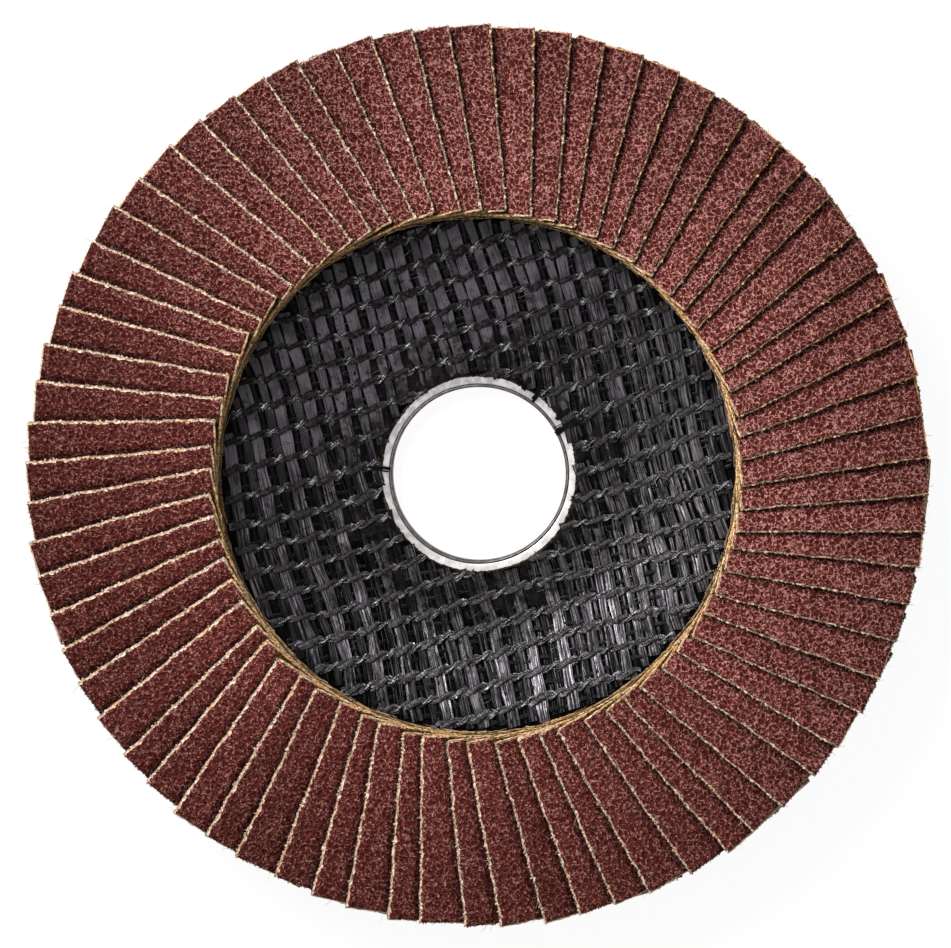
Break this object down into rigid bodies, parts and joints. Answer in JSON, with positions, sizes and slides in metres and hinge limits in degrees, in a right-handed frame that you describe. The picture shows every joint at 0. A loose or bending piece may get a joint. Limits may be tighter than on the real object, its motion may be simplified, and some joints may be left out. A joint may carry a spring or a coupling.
{
  "type": "flap disc",
  "caption": "Flap disc for an angle grinder: abrasive cloth flaps overlap like shingles on a dished glass-fibre plate whose arbor hole is lined with a metal ring.",
  "frame": {"origin": "centre of the arbor hole at the hub's back face, the lowest point of the disc as it lies", "axes": "+Z along the bore axis towards the working side, where the flaps are; the rows of the glass mesh rise 14 degrees from +X towards +Y"},
  "size_m": [0.1152, 0.1152, 0.0134],
  "materials": {
    "abrasive_cloth": "coarse brown-red aluminium oxide grain on resin-stiffened cotton cloth",
    "adhesive": "ochre resin",
    "laminate": "black glass-fibre laminate",
    "glass_mesh": "black resin-soaked glass mesh with a silky gloss",
    "ring_metal": "bright tin-plated steel"
  },
  "bodies": {
    "root": {"adhesive_ring": "adhesive", "arbor_ring": "ring_metal", "backing_plate": "laminate", "flap_pair_01": "abrasive_cloth", "flap_pair_02": "abrasive_cloth", "flap_pair_03": "abrasive_cloth", "flap_pair_04": "abrasive_cloth", "flap_pair_05": "abrasive_cloth", "flap_pair_06": "abrasive_cloth", "flap_pair_07": "abrasive_cloth", "flap_pair_08": "abrasive_cloth", "flap_pair_09": "abrasive_cloth", "flap_pair_10": "abrasive_cloth", "flap_pair_11": "abrasive_cloth", "flap_pair_12": "abrasive_cloth", "flap_pair_13": "abrasive_cloth", "flap_pair_14": "abrasive_cloth", "flap_pair_15": "abrasive_cloth", "flap_pair_16": "abrasive_cloth", "flap_pair_17": "abrasive_cloth", "flap_pair_18": "abrasive_cloth", "flap_pair_19": "abrasive_cloth", "flap_pair_20": "abrasive_cloth", "flap_pair_21": "abrasive_cloth", "flap_pair_22": "abrasive_cloth", "flap_pair_23": "abrasive_cloth", "flap_pair_24": "abrasive_cloth", "flap_pair_25": "abrasive_cloth", "flap_pair_26": "abrasive_cloth", "flap_pair_27": "abrasive_cloth", "flap_pair_28": "abrasive_cloth", "flap_pair_29": "abrasive_cloth", "flap_pair_30": "abrasive_cloth", "flap_pair_31": "abrasive_cloth", "flap_pair_32": "abrasive_cloth", "flap_pair_33": "abrasive_cloth", "flap_pair_34": "abrasive_cloth", "flap_pair_35": "abrasive_cloth", "flap_pair_36": "abrasive_cloth", "glass_mesh": "glass_mesh"}
  },
  "joints": []
}
